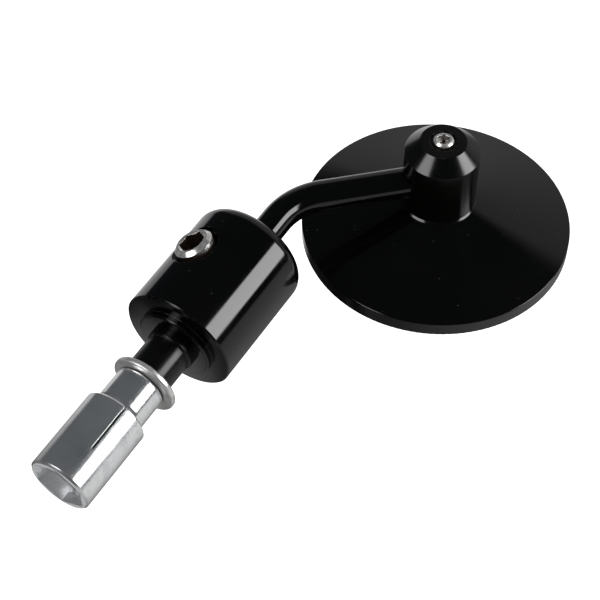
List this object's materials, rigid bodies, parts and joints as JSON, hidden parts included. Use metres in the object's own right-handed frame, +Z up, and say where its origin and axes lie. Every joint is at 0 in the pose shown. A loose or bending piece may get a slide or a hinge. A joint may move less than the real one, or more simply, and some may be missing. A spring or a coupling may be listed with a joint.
{
  "type": "bar end mirror",
  "caption": "Bar-end mirror: a round convex mirror on a bent arm, carried by a turned weight with an expander that grips the inside of a handlebar.",
  "frame": {"origin": "on the handlebar's axis, in the plane where the bar's end face seats on the weight's boss", "axes": "+X outboard along the handlebar's axis, +Z up, +Y forward; the mirror faces -Y, towards the rider"},
  "size_m": [0.1591, 0.0394, 0.0789],
  "materials": {
    "black_anodised": "gloss black anodised",
    "bright_plated": "bright nickel plate",
    "plain_steel": "zinc plated, dull",
    "bare_aluminium": "turned, bare",
    "foam": "matte",
    "silvering": "silvered",
    "clear_glass": "polished",
    "seal_rubber": "satin"
  },
  "bodies": {
    "weight": {"bar_end_weight": "black_anodised", "spacer": "black_anodised"},
    "arm_screw": {"arm_clamp_screw": "bright_plated"},
    "arm": {"arm": "black_anodised"},
    "head": {"hub": "black_anodised", "hub_fixing_screw": "plain_steel", "mirror_case": "black_anodised", "glass_pad": "foam", "mirror_silvering": "silvering", "mirror_glass": "clear_glass", "glass_seal": "seal_rubber"},
    "hub_screw": {"hub_clamp_screw": "bright_plated"},
    "cone": {"expander_cone": "bare_aluminium", "washer": "plain_steel"},
    "sleeve": {"expander_sleeve": "bare_aluminium", "expander_bolt": "plain_steel"}
  },
  "joints": [
    {"name": "arm_swivel", "type": "hinge", "parent": "weight", "child": "arm", "pos_m": [0.0352, 0, 0], "axis": [1, 0, 0], "continuous": true},
    {"name": "head_swivel", "type": "hinge", "parent": "arm", "child": "head", "pos_m": [0.07987, 0, 0.02737], "axis": [0.7071, 0, 0.7071], "continuous": true},
    {"name": "arm_screw_turn", "type": "hinge", "parent": "weight", "child": "arm_screw", "pos_m": [0.02, 0.01347, -0.00826], "axis": [0, 0.8526, -0.5225], "range_deg": [0, 360]},
    {"name": "hub_screw_turn", "type": "hinge", "parent": "head", "child": "hub_screw", "pos_m": [0.08074, 0.01304, 0.02649], "axis": [0.0665, 0.9956, -0.0665], "range_deg": [0, 360]},
    {"name": "expander_turn", "type": "hinge", "parent": "weight", "child": "cone", "pos_m": [0, 0, 0], "axis": [1, 0, 0], "range_deg": [-360.5, 396.5]},
    {"name": "expander_draw", "type": "slide", "parent": "cone", "child": "sleeve", "axis": [1, 0, 0], "range_m": [-0.00125, 0.00137]}
  ],
  "couplings": [
    {"joint": "expander_turn", "follows": "expander_draw", "rad_per_m": 5026.5}
  ]
}
